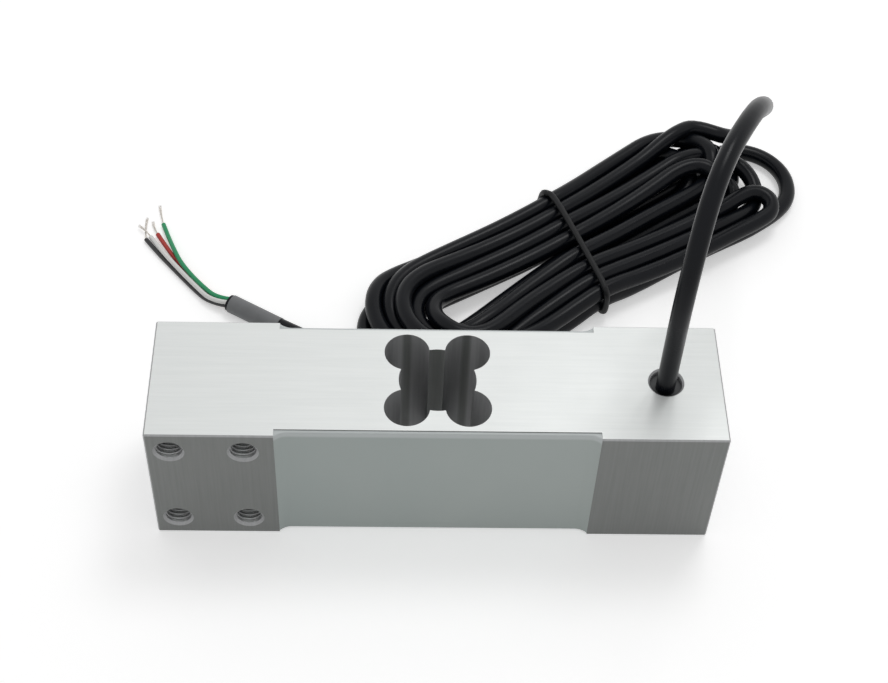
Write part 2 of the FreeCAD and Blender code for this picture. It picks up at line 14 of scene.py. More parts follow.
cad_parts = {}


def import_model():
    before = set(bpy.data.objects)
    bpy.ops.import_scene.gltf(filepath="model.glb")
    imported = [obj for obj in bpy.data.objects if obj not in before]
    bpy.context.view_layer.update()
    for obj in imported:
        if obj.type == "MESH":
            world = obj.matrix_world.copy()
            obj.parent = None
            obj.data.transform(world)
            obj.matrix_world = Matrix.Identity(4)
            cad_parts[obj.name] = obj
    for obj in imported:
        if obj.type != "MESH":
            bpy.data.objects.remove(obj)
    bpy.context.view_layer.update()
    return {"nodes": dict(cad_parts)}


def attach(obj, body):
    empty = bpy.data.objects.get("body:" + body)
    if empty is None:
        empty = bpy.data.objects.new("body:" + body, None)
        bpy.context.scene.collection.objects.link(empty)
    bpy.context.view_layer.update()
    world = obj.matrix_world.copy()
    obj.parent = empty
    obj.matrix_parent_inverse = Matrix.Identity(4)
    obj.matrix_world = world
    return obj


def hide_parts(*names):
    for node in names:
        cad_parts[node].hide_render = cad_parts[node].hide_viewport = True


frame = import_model()
NODES = frame["nodes"]

MM = 0.001

# ---- block features that the trims sit on ------------------------------------------------------
BLOCK_HEIGHT = 44.0
HALF_WIDTH = 19.0
HOLE_XS = (50.0, 69.0)
HOLE_ZS = (7.0, 37.0)
THREAD_PITCH = 1.25
THREAD_CREST_R = 3.14
THREAD_ROOT_R = 3.42
THREAD_FLANK = 0.45         # from the ridge's crest to its foot, in pitches
THREAD_START = 1.0          # below the pad
THREAD_END = 12.4
THREAD_STEPS = 28           # per turn

# ---- signal cable ------------------------------------------------------------------------------
CABLE_R = 2.55
RISER_ROUTE = [
    (60.0, 0.0, 30.0),
    (59.8, -0.9, 52.0),
    (58.6, -6.0, 90.0),
    (65.4, 14.0, 108.6),
    (77.3, 37.0, 107.2),
    (84.8, 54.0, 93.0),
    (90.0, 80.0, 66.0),
    (95.5, 107.0, 39.0),
    (99.8, 121.5, 19.0),
    (98.4, 128.0, 9.0),
]
TAIL_ROUTE = [
    (-24.2, 40.4, 2.7),
    (-43.4, 50.2, 2.9),
    (-61.0, 60.8, 2.9),
]

# ---- hank: turns laid in its own axes, s along it and t across it --------------------------------
HANK_CENTRE = (40.0, 80.0)
HANK_ANGLE = math.radians(33.2)
HANK_ENTRY = [(66.5, 19.5), (52.5, 19.0)]
HANK_EXIT = [(-40.0, -22.0), (-50.0, -21.6), (-58.0, -19.2), (-64.0, -15.0)]
# the folds in the order that the cable is wound, left and right ends in turn:
# how far along it reaches, and the side that the cable comes from and goes back on
FOLDS = [
    (-57.0, 17.0, -14.0),
    (69.0, -18.5, -4.5),        # short fold on top, after which the winding runs the other way
    (-51.0, -12.5, 11.0),
    (60.0, 12.0, -8.0),
    (-59.5, -16.0, 17.5),
    (66.0, 19.5, -2.0),
    (-54.0, -13.0, 13.5),
    (71.0, 16.5, -12.0),
    (-63.5, -17.5, 17.0),
    (57.0, 20.5, -5.0),
    (-55.0, -14.5, 9.0),
    (63.0, 10.0, -17.0),
    (-69.0, -20.0, 13.5),
    (69.0, 15.0, -13.0),
    (-66.0, -17.0, 8.5),
    (83.5, 10.5, -18.5),        # the one loop that lies outside the rest, on the floor
]
RUN_DROP = 5.2              # each run starts this far above the next
FOLD_STEPS = 11
LAY_STEP = 3.4              # between the points that are let down
POINTS_SKIPPED = 4          # of those, left out where the riser comes in
POINTS_USED = 2             # one in so many of the rest is a control point
CLEARANCE = 0.15            # kept between turns where there is room for it
APART = 2 * CABLE_R + CLEARANCE

# ---- tie ---------------------------------------------------------------------------------------
TIE_ALONG = 3.5
TIE_SKEW = math.radians(-11.0)
TIE_HALF = 19.5             # from the hank's middle to its outermost centreline under the tie
TIE_HALF_FAR = 16.5         # the same on the far side
TIE_BULGE = 5.5             # how far its top is drawn towards the right end
TIE_R = 0.95
TIE_LIFT = 1.85             # room for it between the turns and the floor
TIE_LIFT_REACH = 9.0        # how far along the hank that room runs out
TIE_OFF_FLOOR = 0.1
TIE_STEPS = 28
RIM_STEPS = 16              # round each turn that the tie holds

# ---- how the turns are let down ----------------------------------------------------------------
SETTLE_STEPS = 420
PAIRS_EVERY = 8             # steps from one search for neighbouring turns to the next
PAIRS_REACH = 3.5           # how much further than APART it looks
SAME_RUN = 6                # points that follow each other this closely don't press on each other
FALL = 0.08                 # per step
ROOF_SIDES = 4.4            # the height that the pile is pressed to, over the lowest centrelines
ROOF_CROWN = 2.6            # how much higher it is along the middle
ROOF_ENDS = 3.2             # and how much more than that at the ends
ROOF_HALF = 22.0            # where the crown runs out, across
ENDS_FROM = 30.0            # from the tie to where the ends begin
ENDS_REACH = 30.0           # over which they rise
ROOF_PUSH = 0.4
ROOF_PUSH_LIMIT = 0.8
KEPT_ALONG = 0.985          # share of a shift along the hank that is left after each step
GAP_FROM = -12.0            # the gap between the hank's two sides, left of the tie
GAP_REACH = 24.0            # over which it opens
GAP_TO = -46.0
GAP_MIDDLE = -2.0
GAP_HALF = 5.2
GAP_PUSH = 0.8
HANK_HALF = 22.5            # centrelines further off the middle than this are pushed back
WAIST_REACH = 30.0          # how far from the tie the waist begins
WAIST_CURVE = 1.5
TIE_DRAWN = 0.6             # share of the steps in which the tie is drawn tight
SIDE_PUSH = 0.5
SMOOTHINGS = 4
SMOOTHING = 0.5
BEND_SAG = 3.2              # points further off the chord of their neighbours are pushed back
BEND_PUSH = 0.6
PUSHES = 2
PUSH = 0.9
SUNK = 0.8                  # turns nearer than this share of APART are sunk into each other
SUNK_DROP = 3.0             # how strongly they are sent past each other downwards

# ---- stripped end ------------------------------------------------------------------------------
CORE_R = 0.7
CORES = {
    "green": [(-60.6, 61.45, 3.65), (-65.0, 62.7, 3.0), (-69.4, 67.4, 2.5), (-73.8, 72.7, 2.35),
              (-77.3, 77.9, 2.3), (-80.0, 84.2, 1.7), (-82.2, 89.8, 1.0), (-83.9, 94.5, 0.8)],
    "red": [(-60.6, 61.45, 2.15), (-65.7, 63.9, 1.2), (-70.3, 69.2, 0.8), (-74.6, 74.4, 0.8),
            (-78.2, 78.9, 0.8), (-81.6, 83.9, 0.8), (-85.3, 90.2, 0.8)],
    "white": [(-61.4, 60.15, 3.65), (-66.5, 61.6, 2.8), (-71.2, 67.2, 2.3), (-75.5, 72.3, 2.25),
              (-79.3, 77.0, 2.3), (-83.0, 82.0, 1.9), (-87.3, 88.9, 0.9)],
    "black": [(-61.4, 60.15, 2.15), (-67.2, 62.2, 1.1), (-72.3, 67.7, 0.8), (-76.6, 72.8, 0.8),
              (-80.6, 77.6, 0.8), (-84.8, 82.7, 0.8), (-88.7, 88.0, 0.8)],
}
TIPS = {
    "green": [(-83.9, 94.5, 0.8), (-85.0, 98.3, 0.6), (-85.8, 102.6, 0.5)],
    "red": [(-85.3, 90.2, 0.8), (-86.6, 92.6, 0.6), (-87.3, 95.6, 0.5)],
    "white": [(-87.3, 88.9, 0.9), (-88.9, 91.2, 1.6), (-91.4, 93.4, 1.1)],
    "black": [(-88.7, 88.0, 0.8), (-89.5, 92.4, 0.6), (-89.2, 97.2, 0.5)],
}
STRANDS = 7                 # one in the middle and the rest round it
STRAND_R = 0.085
STRAND_RING = 0.17
STRAND_SPLAY = 0.25         # how much wider the ring is at the end
STRAND_TWIST = 0.9          # turns over the tip's length
STRAND_SIDES = 6
STRAND_OFF_FLOOR = 0.05
NOT_ALONG_A_TIP = (0.31, 0.17, 0.93)    # any direction that no tip starts in

# ---- floor and light, in metres ----------------------------------------------------------------
FLOOR_HALF = 3.0
FLOOR_GLOW = 0.40           # lifts the floor to white where the camera sees it
WORLD_FRONT = 0.38          # strength of the light from the camera's side
WORLD_BACK = 0.62
WORLD_FRONT_Y = -0.9        # directions from which the two are full
WORLD_BACK_Y = 0.7
LAMP_PLACE = (0.20, 0.36, 0.85)
LAMP_AIM = (0.0, 0.05, 0.0)
LAMP_SIZE = 0.30
LAMP_POWER = 1.55

# ---- camera ------------------------------------------------------------------------------------
CAM_AZIMUTH = math.radians(-2.884)
CAM_ELEVATION = math.radians(50.625)
CAM_ROLL = math.radians(2.915)
CAM_TARGET = Vector((1.14, 0.0, 59.79)) * MM
CAM_DISTANCE = 441.9 * MM
CAM_LENS = 70.43
CAM_SENSOR = 36.0
CAM_NEAR = 0.01


def angles(count):
    """Angles spread evenly over a full turn."""
    return [2 * math.pi * k / count for k in range(count)]


def metres(points):
    """The same points in metres instead of millimetres."""
    return [tuple(c * MM for c in p) for p in points]


# ---- materials ---------------------------------------------------------------------------------
def join(tree, socket, value):
    """Feeds a socket from another node's output, or sets it to a number or a colour."""
    if hasattr(value, "is_output"):
        tree.links.new(value, socket)
    elif hasattr(value, "__len__") and socket.type == "RGBA":
        socket.default_value = (*value, 1.0)
    else:
        socket.default_value = value


class Maker:
    """A few shorthands for building one node material."""

    def __init__(self, name):
        self.mat = bpy.data.materials.new(name)
        self.mat.use_nodes = True
        self.tree = self.mat.node_tree
        self.shader = self.tree.nodes["Principled BSDF"]
        self.coords = self.node("ShaderNodeTexCoord").outputs["Object"]

    def node(self, kind, **inputs):
        n = self.tree.nodes.new(kind)
        for name, value in inputs.items():
            join(self.tree, n.inputs[name], value)
        return n

    def stretched(self, *scale):
        """Object coordinates scaled per axis, so that a texture runs long where scale is small."""
        return self.node("ShaderNodeMapping", Vector=self.coords, Scale=scale).outputs["Vector"]

    def noise(self, scale, detail=3.0, roughness=0.55, vector=None):
        n = self.node("ShaderNodeTexNoise", Scale=scale, Detail=detail, Roughness=roughness,
                      Vector=self.coords if vector is None else vector)
        return n.outputs["Fac"]

    def ramp(self, value, stops):
        """Colours or numbers at places from 0 to 1, and a smooth run between them."""
        n = self.node("ShaderNodeValToRGB", Fac=value)
        ramp = n.color_ramp
        while len(ramp.elements) < len(stops):
            ramp.elements.new(0.5)
        for element, (place, colour) in zip(ramp.elements, stops):
            element.position = place
            element.color = (*colour, 1.0) if hasattr(colour, "__len__") else (colour,) * 3 + (1.0,)
        return n.outputs["Color"]

    def mix(self, factor, a, b):
        n = self.tree.nodes.new("ShaderNodeMix")
        n.data_type = "RGBA"
        factor_socket, a_socket, b_socket = n.inputs[0], n.inputs[6], n.inputs[7]
        join(self.tree, factor_socket, factor)
        join(self.tree, a_socket, a)
        join(self.tree, b_socket, b)
        return n.outputs[2]

    def math(self, operation, a, b=0.0):
        n = self.tree.nodes.new("ShaderNodeMath")
        n.operation = operation
        join(self.tree, n.inputs[0], a)
        join(self.tree, n.inputs[1], b)
        return n.outputs[0]

    def axis(self, source, name):
        """One coordinate of a vector."""
        return self.node("ShaderNodeSeparateXYZ", Vector=source).outputs[name]

    def normal(self, name):
        """One coordinate of the surface's normal."""
        return self.axis(self.node("ShaderNodeNewGeometry").outputs["Normal"], name)

    def feed(self, socket, value):
        join(self.tree, self.shader.inputs[socket], value)

    def colour(self, value):
        self.feed("Base Color", value)

    def bump(self, height, distance, strength):
        n = self.node("ShaderNodeBump", Height=height, Strength=strength, Distance=distance)
        self.feed("Normal", n.outputs["Normal"])


def aluminium():
    """Pale top and bottom with long saw streaks; the same metal painted darker on the front and
    rear pads as shade and lighter on the other walls as painted light; upright grinding marks,
    faint handling wear.
    """
    m = Maker("aluminium")
    # Painted light and shade: the colour follows the face's direction, palest on the top and
    # bottom, darkest on the front and rear pads, in between on the other walls
    flats_painted_light_mask = m.ramp(m.math("ABSOLUTE", m.normal("Z")), [(0.75, 0.0), (0.92, 1.0)])
    pads_painted_shade_mask = m.ramp(m.math("ABSOLUTE", m.normal("Y")), [(0.97, 0.0), (0.995, 1.0)])
    long_streaks = m.noise(190.0, 5.0, 0.6, m.stretched(0.25, 6.0, 1.0))
    upright_marks = m.noise(260.0, 6.0, 0.65, m.stretched(5.0, 1.0, 0.12))
    cloud = m.noise(38.0)
    # pale copy for the top and bottom, which face the light, with saw streaks in it
    top = m.mix(long_streaks, (0.74, 0.765, 0.755), (0.84, 0.86, 0.85))
    # painted shade: the same metal much darker on the front and rear pads, with upright grinding
    # marks
    pad = m.mix(upright_marks, (0.155, 0.162, 0.157), (0.26, 0.272, 0.263))
    pad = m.mix(m.ramp(cloud, [(0.35, 0.0), (0.75, 0.45)]), pad, (0.27, 0.275, 0.27))
    # painted light: the holes' and cutout's walls lighter than the pads, so that they don't fall
    # dark
    bore_marks_and_light = m.mix(upright_marks, (0.32, 0.325, 0.33), (0.52, 0.525, 0.53))
    m.colour(m.mix(flats_painted_light_mask, m.mix(pads_painted_shade_mask, bore_marks_and_light, pad), top))
    m.feed("Metallic", 0.35)
    m.feed("Roughness", m.ramp(cloud, [(0.2, 0.42), (0.8, 0.56)]))
    m.bump(m.mix(flats_painted_light_mask, upright_marks, long_streaks), 0.00006, 0.35)
    return m.mat


def sealant():
    """Poured blue-grey compound: slightly wavy, with a paler band of painted light along its
    rounded upper rim, which faces up.
    """
    m = Maker("sealant")
    swirl = m.noise(26.0, 4.0, 0.5, m.stretched(0.7, 1.0, 0.45))
    body = m.ramp(swirl, [(0.25, (0.43, 0.49, 0.475)), (0.75, (0.49, 0.54, 0.52))])
    height = m.math("DIVIDE", m.axis(m.coords, "Z"), BLOCK_HEIGHT * MM)
    # painted light: a paler band along the rounded upper rim, where it faces upward
    painted_light_top_band = m.ramp(height, [(0.945, 0.0), (0.965, 1.0)])
    # the paler colour here is the painted light of that upper band
    m.colour(m.mix(painted_light_top_band, body, (0.62, 0.66, 0.66)))
    m.feed("Roughness", 0.38)
    m.bump(m.noise(70.0), 0.0003, 0.25)
    return m.mat


def plastic(name, dark, light, roughness, scale=240.0, bump=0.00008, gloss=0.5):
    """Moulded or drawn plastic: a fine mottle in colour, gloss and surface."""
    m = Maker(name)
    grain = m.noise(scale, 4.0)
    m.colour(m.mix(grain, dark, light))
    wear = m.noise(scale * 0.3)
    m.feed("Roughness", m.ramp(wear, [(0.3, roughness), (0.8, roughness + 0.12)]))
    m.bump(grain, bump, 0.3)
    m.feed("Specular IOR Level", gloss)
    return m.mat


def strand_metal():
    """Tinned copper, with the copper showing through the tin here and there."""
    m = Maker("tinned_copper")
    tint = m.noise(900.0)
    m.colour(m.mix(tint, (0.55, 0.50, 0.44), (0.82, 0.80, 0.77)))
    m.feed("Metallic", 0.9)
    m.feed("Roughness", m.ramp(tint, [(0.3, 0.25), (0.8, 0.45)]))
    return m.mat


# ---- meshes ------------------------------------------------------------------------------------
def mesh_object(name, verts, faces, mat):
    """Smooth-shaded object with its place in its mesh."""
    mesh = bpy.data.meshes.new(name)
    mesh.from_pydata(verts, [], faces)
    mesh.validate()
    for polygon in mesh.polygons:
        polygon.use_smooth = True
    obj = bpy.data.objects.new(name, mesh)
    bpy.context.scene.collection.objects.link(obj)
    obj.data.materials.append(mat)
    return obj


def nurbs(name, points, radius, mat=None, closed=False):
    """Smooth round cord whose control points are the given points, in millimetres."""
    curve = bpy.data.curves.new(name, "CURVE")
    curve.dimensions = "3D"
    curve.resolution_u = 5
    curve.bevel_depth = radius * MM
    curve.bevel_resolution = 6
    curve.use_fill_caps = not closed
    spline = curve.splines.new("NURBS")
    spline.points.add(len(points) - 1)
    for point, place in zip(spline.points, metres(points)):
        point.co = (*place, 1.0)
    spline.order_u = 3
    spline.use_endpoint_u = not closed
    spline.use_cyclic_u = closed
    obj = bpy.data.objects.new(name, curve)
    bpy.context.scene.collection.objects.link(obj)
    if mat:
        curve.materials.append(mat)
    return obj


def centreline(points):
    """Points along the NURBS route, in metres."""
    route = nurbs("route", points, 0.0)
    mesh = bpy.data.meshes.new_from_object(route)
    line = np.array([v.co for v in mesh.vertices])
    bpy.data.objects.remove(route)
    bpy.data.meshes.remove(mesh)
    return line


def measured_length(points):
    """Length of the NURBS route, in metres."""
    return float(np.linalg.norm(np.diff(centreline(points), axis=0), axis=1).sum())


def along(line):
    """Direction of a line at each of its points."""
    tangents = np.gradient(line, axis=0)
    return tangents / np.linalg.norm(tangents, axis=1)[:, None]


def tube(verts, faces, line, radius, sides):
    """Adds a capped round tube along a line of points, all in metres, to the two lists."""
    first = len(verts)
    tangents = along(line)
    across = np.cross(tangents[0], NOT_ALONG_A_TIP)
    for place, tangent in zip(line, tangents):
        across = across - tangent * across.dot(tangent)
        across /= np.linalg.norm(across)
        up = np.cross(tangent, across)
        for a in angles(sides):
            verts.append(tuple(place + radius * (math.cos(a) * across + math.sin(a) * up)))
    rings = len(line)
    for i in range(rings - 1):
        for k in range(sides):
            a = first + i * sides + k
            b = first + i * sides + (k + 1) % sides
            faces.append((a, b, b + sides, a + sides))
    faces.append(tuple(first + k for k in reversed(range(sides))))
    faces.append(tuple(first + (rings - 1) * sides + k for k in range(sides)))


# ---- hank --------------------------------------------------------------------------------------
def fold(end, t_from, t_to, z, outward):
    """Half-round fold from one side of the hank to the other. outward is 1 right, -1 left."""
    centre = (t_from + t_to) / 2
    radius = (t_from - t_to) / 2
    middle = end - outward * abs(radius)
    points = []
    for i in range(FOLD_STEPS + 1):
        share = i / FOLD_STEPS
        a = math.pi * share
        points.append((middle + outward * abs(radius) * math.sin(a),
                       centre + radius * math.cos(a), z - RUN_DROP * share))
    return points


def first_lay():
    """The turns one above the other, as they come off the hand, before they are let down."""
    z = CABLE_R + RUN_DROP * len(FOLDS)
    points = [(s, t, z) for s, t in [to_hank(RISER_ROUTE[-1])] + HANK_ENTRY]
    outward = -1
    for end, t_from, t_to in FOLDS:
        points += fold(end, t_from, t_to, z, outward)
        z -= RUN_DROP
        outward = -outward
    points += [(s, t, CABLE_R) for s, t in HANK_EXIT + [to_hank(TAIL_ROUTE[0])]]
    return np.array(points)


def evenly(points, step):
    """The same line with points a step apart."""
    runs = np.linalg.norm(np.diff(points, axis=0), axis=1)
    along = np.concatenate([[0.0], np.cumsum(runs)])
    places = np.linspace(0, along[-1], int(round(along[-1] / step)) + 1)
    return np.stack([np.interp(places, along, points[:, i]) for i in range(3)], axis=1)


def close_pairs(place):
    """Pairs of points of different runs that may press on each other, the earlier point first."""
    order = np.arange(len(place))
    gaps = np.linalg.norm(place[:, None] - place[None], axis=2)
    others = np.abs(order[:, None] - order[None]) > SAME_RUN
    return np.nonzero(np.triu((gaps < APART + PAIRS_REACH) & others))


def let_down(place, moved):
    """Lets the turns fall, and presses them under the roof that the pile has."""
    crown = 1 - (place[:, 1] / ROOF_HALF) ** 2
    ends = np.clip((np.abs(place[:, 0] - TIE_ALONG) - ENDS_FROM) / ENDS_REACH, 0, 1)
    roof = CABLE_R + ROOF_SIDES + ROOF_CROWN * crown + ROOF_ENDS * ends * crown
    moved[:, 2] -= FALL + ROOF_PUSH * np.clip(place[:, 2] - roof, 0, ROOF_PUSH_LIMIT)
    moved[:, 0] *= KEPT_ALONG


def open_gap(place, moved):
    """Moves turns out of the gap. Its near side leans out, so that the camera sees the floor."""
    opened = np.clip((GAP_FROM - place[:, 0]) / GAP_REACH, 0, 1) * (place[:, 0] > GAP_TO)
    off = place[:, 1] - GAP_MIDDLE
    lean = np.where(off < 0, place[:, 2] - CABLE_R, 0.0)
    inside = np.clip(opened * (GAP_HALF + lean) - np.abs(off), 0, None)
    moved[:, 1] += GAP_PUSH * np.sign(off) * inside


def draw_in(lay, moved, waist, share):
    """Keeps the turns within the hank's width, and within the tie as it is drawn tight."""
    t = (lay + moved)[:, 1]
    held = np.where(t > 0, TIE_HALF_FAR, TIE_HALF)
    half = HANK_HALF - (HANK_HALF - held) * min(1.0, share / TIE_DRAWN) * waist
    moved[:, 1] -= SIDE_PUSH * np.sign(t) * np.clip(np.abs(t) - half, 0, None)


def ease(lay, moved):
    """Spreads each shift along the cable, and opens bends that are too tight."""
    for _ in range(SMOOTHINGS):
        moved[1:-1] += SMOOTHING * ((moved[:-2] + moved[2:]) / 2 - moved[1:-1])
        moved[0, :2] = 0
        moved[-1] = 0
    place = lay + moved
    off = place[2:-2] - (place[:-4] + place[4:]) / 2
    sag = np.linalg.norm(off, axis=1)
    too_far = 1 - BEND_SAG / np.maximum(sag, BEND_SAG)
    moved[2:-2] -= off * (BEND_PUSH * too_far)[:, None]


def push_apart(lay, moved, pairs, floor):
    """Moves turns that press into each other apart, and keeps them all on or above the floor."""
    first, second = pairs
    place = lay + moved
    run = place[second] - place[first]
    gap = np.linalg.norm(run, axis=1)
    near = gap < APART
    first, second, way, gap = first[near], second[near], run[near], gap[near]
    # where two turns are sunk into each other, the one wound later goes underneath
    way[gap < SUNK * APART, 2] -= SUNK_DROP
    way /= np.linalg.norm(way, axis=1)[:, None]
    push = way * ((APART - gap) / 2)[:, None]
    shift = np.zeros_like(lay)
    hits = np.zeros(len(lay))
    np.add.at(shift, first, -push)
    np.add.at(shift, second, push)
    np.add.at(hits, first, 1)
    np.add.at(hits, second, 1)
    moved += PUSH * shift / np.sqrt(np.maximum(hits, 1))[:, None]
    moved[:, 2] = np.maximum(moved[:, 2], floor - lay[:, 2])


def settle(lay):
    """Lets the turns down on to the floor and each other, and draws them in under the tie."""
    moved = np.zeros_like(lay)
    from_tie = np.abs(lay[:, 0] - TIE_ALONG + lay[:, 1] * math.tan(TIE_SKEW))
    waist = np.clip(1 - from_tie / WAIST_REACH, 0, 1) ** WAIST_CURVE
    floor = CABLE_R + TIE_LIFT * np.sqrt(np.clip(1 - from_tie / TIE_LIFT_REACH, 0, 1))
    floor[0] = RISER_ROUTE[-1][2]
    for step in range(SETTLE_STEPS):
        place = lay + moved
        if step % PAIRS_EVERY == 0:
            pairs = close_pairs(place)
        let_down(place, moved)
        open_gap(place, moved)
        draw_in(lay, moved, waist, step / SETTLE_STEPS)
        ease(lay, moved)
        for _ in range(PUSHES):
            push_apart(lay, moved, pairs, floor)
    return lay + moved


def to_hank(point):
    """From the row frame to the hank's own axes, along it and across it."""
    cos, sin = math.cos(HANK_ANGLE), math.sin(HANK_ANGLE)
    x, y = point[0] - HANK_CENTRE[0], point[1] - HANK_CENTRE[1]
    return x * cos + y * sin, y * cos - x * sin


def from_hank(points):
    """From the hank's own axes to the row frame, in millimetres."""
    cos, sin = math.cos(HANK_ANGLE), math.sin(HANK_ANGLE)
    return [(HANK_CENTRE[0] + s * cos - t * sin, HANK_CENTRE[1] + s * sin + t * cos, z)
            for s, t, z in points]


def turns_held(turns):
    """Where the turns pass through the tie, in the hank's own axes."""
    held = []
    for a, b in zip(turns, turns[1:]):
        past_a = a[0] - TIE_ALONG + a[1] * math.tan(TIE_SKEW)
        past_b = b[0] - TIE_ALONG + b[1] * math.tan(TIE_SKEW)
        if (past_a < 0) != (past_b < 0):
            held.append(a + (b - a) * past_a / (past_a - past_b))
    return held


def tie_loop(turns):
    """Closed line just outside the turns where the tie holds them, in the hank's own axes."""
    held = turns_held(turns)
    middle_t = sum(p[1] for p in held) / len(held)
    middle_z = sum(p[2] for p in held) / len(held)
    reach = CABLE_R + TIE_R
    rim = [(p[1] + reach * math.cos(a), p[2] + reach * math.sin(a))
           for p in held for a in angles(RIM_STEPS)]
    tangents = []
    for a in angles(TIE_STEPS):
        c, s = math.cos(a), math.sin(a)
        tangents.append((c, s, max((t - middle_t) * c + (z - middle_z) * s for t, z in rim)))
    points = []
    # each corner is where two tangents next to each other cross
    for (c0, s0, far0), (c1, s1, far1) in zip(tangents, tangents[1:] + tangents[:1]):
        turn = c0 * s1 - c1 * s0
        t = middle_t + (far0 * s1 - far1 * s0) / turn
        z = middle_z + (c0 * far1 - c1 * far0) / turn
        raised = min(1.0, max(0.0, z - middle_z) / CABLE_R)
        bulge = max(0.0, TIE_BULGE * (1 - (t / TIE_HALF) ** 2) * raised)
        s = TIE_ALONG - t * math.tan(TIE_SKEW) + bulge
        points.append((s, t, max(z, TIE_R + TIE_OFF_FLOOR)))
    return points


# ---- pieces ------------------------------------------------------------------------------------
def add_thread(verts, faces, x, z, side):
    """Adds one hole's raised thread, a ridge of three edges, to the two lists."""
    first = len(verts)
    flank = THREAD_FLANK * THREAD_PITCH
    section = ((THREAD_ROOT_R, flank), (THREAD_CREST_R, 0.0), (THREAD_ROOT_R, -flank))
    edges = len(section)
    steps = int((THREAD_END - THREAD_START) / THREAD_PITCH * THREAD_STEPS)
    for i in range(steps + 1):
        a = 2 * math.pi * i / THREAD_STEPS
        depth = HALF_WIDTH - THREAD_START - THREAD_PITCH * i / THREAD_STEPS
        for radius, offset in section:
            verts.append(((side * x + radius * math.cos(a)) * MM,
                          side * (depth + offset) * MM,
                          (z + radius * math.sin(a)) * MM))
    for i in range(steps):
        for k in range(edges):
            a = first + edges * i + k
            b = first + edges * i + (k + 1) % edges
            faces.append((a, b, b + edges, a + edges))
    end = first + edges * steps
    faces.append((first, first + 2, first + 1))
    faces.append((end, end + 1, end + 2))


def hole_threads(name, side, mat):
    """Raised thread in the four mounting holes of one side."""
    verts, faces = [], []
    for x in HOLE_XS:
        for z in HOLE_ZS:
            add_thread(verts, faces, x, z, side)
    return mesh_object(name, verts, faces, mat)


def strand_bundle(name, route, mat):
    """Fine twisted wires along a bare tip, opening towards its end."""
    line = centreline(route)
    tangents = along(line)
    verts, faces = [], []
    for k in range(STRANDS):
        points = []
        for i, (place, tangent) in enumerate(zip(line, tangents)):
            share = i / (len(line) - 1)
            side = np.cross(tangent, (0, 0, 1))
            side /= np.linalg.norm(side)
            up = np.cross(side, tangent)
            ring = 0 if k == 0 else (STRAND_RING + STRAND_SPLAY * share ** 2) * MM
            a = 2 * math.pi * (k / (STRANDS - 1) + STRAND_TWIST * share)
            spot = place + ring * (math.cos(a) * side + math.sin(a) * up)
            spot[2] = max(spot[2], (STRAND_R + STRAND_OFF_FLOOR) * MM)
            points.append(spot)
        tube(verts, faces, np.array(points), STRAND_R * MM, STRAND_SIDES)
    return mesh_object(name, verts, faces, mat)


def paint(mat, *names):
    """Gives CAD nodes their finish."""
    for name in names:
        materials = NODES[name].data.materials
        materials.clear()
        materials.append(mat)


# ---- finishes ----------------------------------------------------------------------------------
metal = aluminium()
compound = sealant()
# the blue in the near-black jacket is a painted reflection, standing in for the bluish highlights
# along the cable
jacket = plastic("cable_jacket", (0.002, 0.0027, 0.0045), (0.004, 0.0052, 0.008), 0.24,
                 gloss=0.16)
potting = plastic("potting", (0.02, 0.022, 0.024), (0.05, 0.052, 0.055), 0.5, 160.0)
rubber = plastic("tie_rubber", (0.004, 0.0045, 0.005), (0.009, 0.0095, 0.011), 0.42, gloss=0.25)
sleeve = plastic("sleeve_plastic", (0.13, 0.135, 0.14), (0.2, 0.205, 0.21), 0.45)
strand = strand_metal()
core_colours = {
    "green": ((0.0, 0.27, 0.10), (0.01, 0.36, 0.14)),
    "red": ((0.42, 0.02, 0.015), (0.55, 0.035, 0.02)),
    "white": ((0.78, 0.78, 0.76), (0.9, 0.9, 0.88)),
    "black": ((0.01, 0.01, 0.011), (0.02, 0.02, 0.022)),
}
insulation = {colour: plastic("core_" + colour, dark, light, 0.25, 700.0, 0.00002)
              for colour, (dark, light) in core_colours.items()}

paint(metal, "sensing_body")
paint(compound, "gauge_seal_front", "gauge_seal_rear")
paint(potting, "bore_potting")
paint(sleeve, "end_sleeve")
for colour, mat in insulation.items():
    paint(mat, "inner_lead_" + colour)
paint(plastic("gauge_film", (0.5, 0.3, 0.08), (0.66, 0.42, 0.14), 0.25, 900.0),
      *("strain_gauge_%s_%s" % (face, hand)
        for face in ("front", "rear") for hand in ("left", "right")))
paint(plastic("laminate", (0.02, 0.16, 0.06), (0.04, 0.24, 0.1), 0.35, 600.0),
      "terminal_strip_front", "terminal_strip_rear", "compensation_board")
paint(plastic("chip_ceramic", (0.02, 0.02, 0.022), (0.05, 0.05, 0.052), 0.4, 900.0),
      "zero_balance_resistor", "span_resistor", "drift_resistor")
paint(plastic("wire_enamel", (0.32, 0.1, 0.03), (0.45, 0.16, 0.05), 0.25, 900.0),
      "jumper_wires_front", "jumper_wires_rear", "crossover_wires")

# ---- cable and tie -----------------------------------------------------------------------------
turns = settle(evenly(first_lay(), LAY_STEP))
cable_route = RISER_ROUTE + from_hank(turns[POINTS_SKIPPED:-1:POINTS_USED]) + TAIL_ROUTE
cable = nurbs("signal_cable", cable_route, CABLE_R, jacket)
tie = nurbs("hank_tie_band", from_hank(tie_loop(turns)), TIE_R, rubber, closed=True)
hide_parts("signal_cable_riser", "signal_cable_hank", "signal_cable_tail")
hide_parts("hank_tie")
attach(cable, "root")
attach(tie, "root")
print("signal cable length %.3f m" % measured_length(cable_route))

# ---- threads in the mounting holes -------------------------------------------------------------
for name, side in (("threads_front", -1), ("threads_rear", 1)):
    threads = hole_threads(name, side, metal)
    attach(threads, "root")

